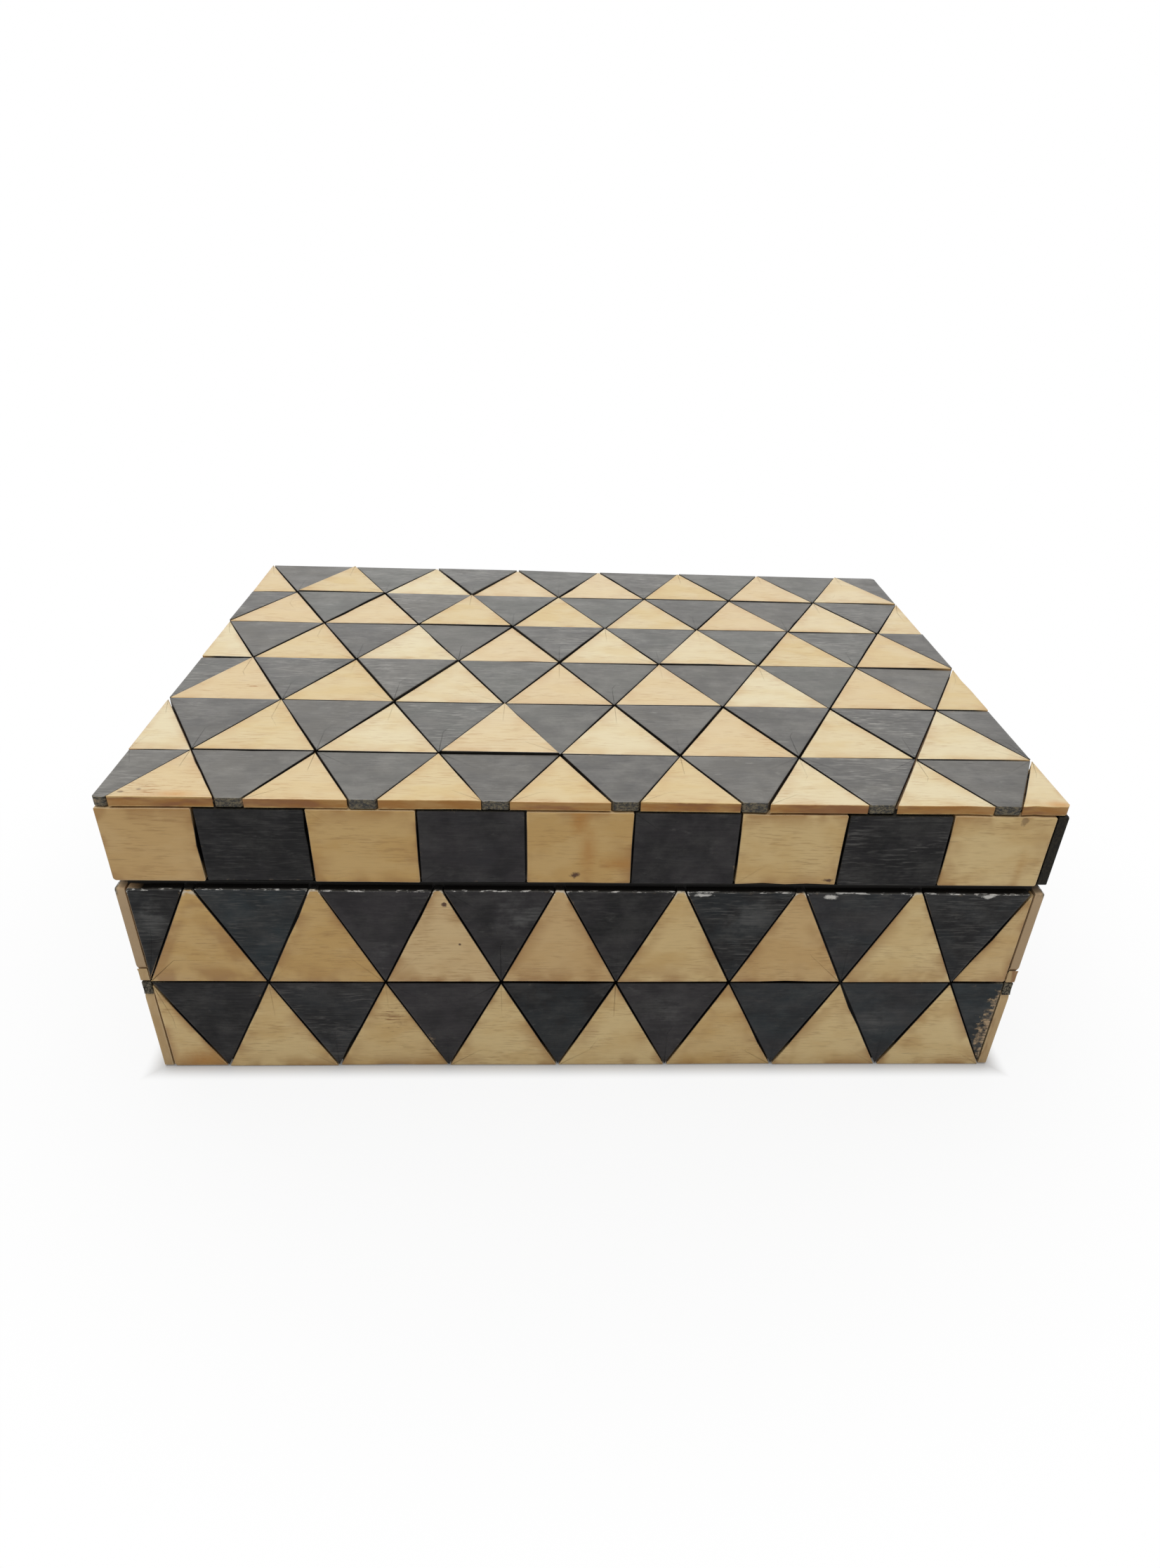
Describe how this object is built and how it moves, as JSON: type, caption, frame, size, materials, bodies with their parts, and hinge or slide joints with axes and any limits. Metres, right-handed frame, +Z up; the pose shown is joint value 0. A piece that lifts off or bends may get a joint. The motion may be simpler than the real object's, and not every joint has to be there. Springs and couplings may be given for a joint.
{
  "type": "tiled wooden box",
  "caption": "Low rectangular wooden box with a deep hinged lid, covered with a skin of pale and dark triangular bone tiles.",
  "frame": {"origin": "centre of the box's footprint, on the surface that it stands on", "axes": "+X along the front to the right, +Y to the hinged back, +Z up"},
  "size_m": [0.2022, 0.1549, 0.0745],
  "materials": {
    "pale_bone": "satin",
    "dyed_bone": "satin",
    "carcass_wood": "matte",
    "hinge_brass": "satin"
  },
  "bodies": {
    "base": {"base_back_board": "carcass_wood", "base_back_dark_tiles": "dyed_bone", "base_back_pale_tiles": "pale_bone", "base_bottom_board": "carcass_wood", "base_front_board": "carcass_wood", "base_front_dark_tiles": "dyed_bone", "base_front_pale_tiles": "pale_bone", "base_hinge_screws": "hinge_brass", "base_left_board": "carcass_wood", "base_left_dark_tiles": "dyed_bone", "base_left_pale_tiles": "pale_bone", "base_right_board": "carcass_wood", "base_right_dark_tiles": "dyed_bone", "base_right_pale_tiles": "pale_bone", "left_hinge_base_leaf": "hinge_brass", "left_hinge_pin": "hinge_brass", "right_hinge_base_leaf": "hinge_brass", "right_hinge_pin": "hinge_brass"},
    "lid": {"left_hinge_lid_leaf": "hinge_brass", "lid_back_band_dark_tiles": "dyed_bone", "lid_back_band_pale_tiles": "pale_bone", "lid_back_rail": "carcass_wood", "lid_front_band_dark_tiles": "dyed_bone", "lid_front_band_pale_tiles": "pale_bone", "lid_front_rail": "carcass_wood", "lid_hinge_screws": "hinge_brass", "lid_left_band_dark_tiles": "dyed_bone", "lid_left_band_pale_tiles": "pale_bone", "lid_left_rail": "carcass_wood", "lid_right_band_dark_tiles": "dyed_bone", "lid_right_band_pale_tiles": "pale_bone", "lid_right_rail": "carcass_wood", "lid_top_board": "carcass_wood", "lid_top_dark_tiles": "dyed_bone", "lid_top_pale_tiles": "pale_bone", "right_hinge_lid_leaf": "hinge_brass"}
  },
  "joints": [
    {"name": "lid_hinge", "type": "hinge", "parent": "base", "child": "lid", "pos_m": [0, 0.0765, 0.05335], "axis": [-1, 0, 0], "range_deg": [0, 105]}
  ]
}
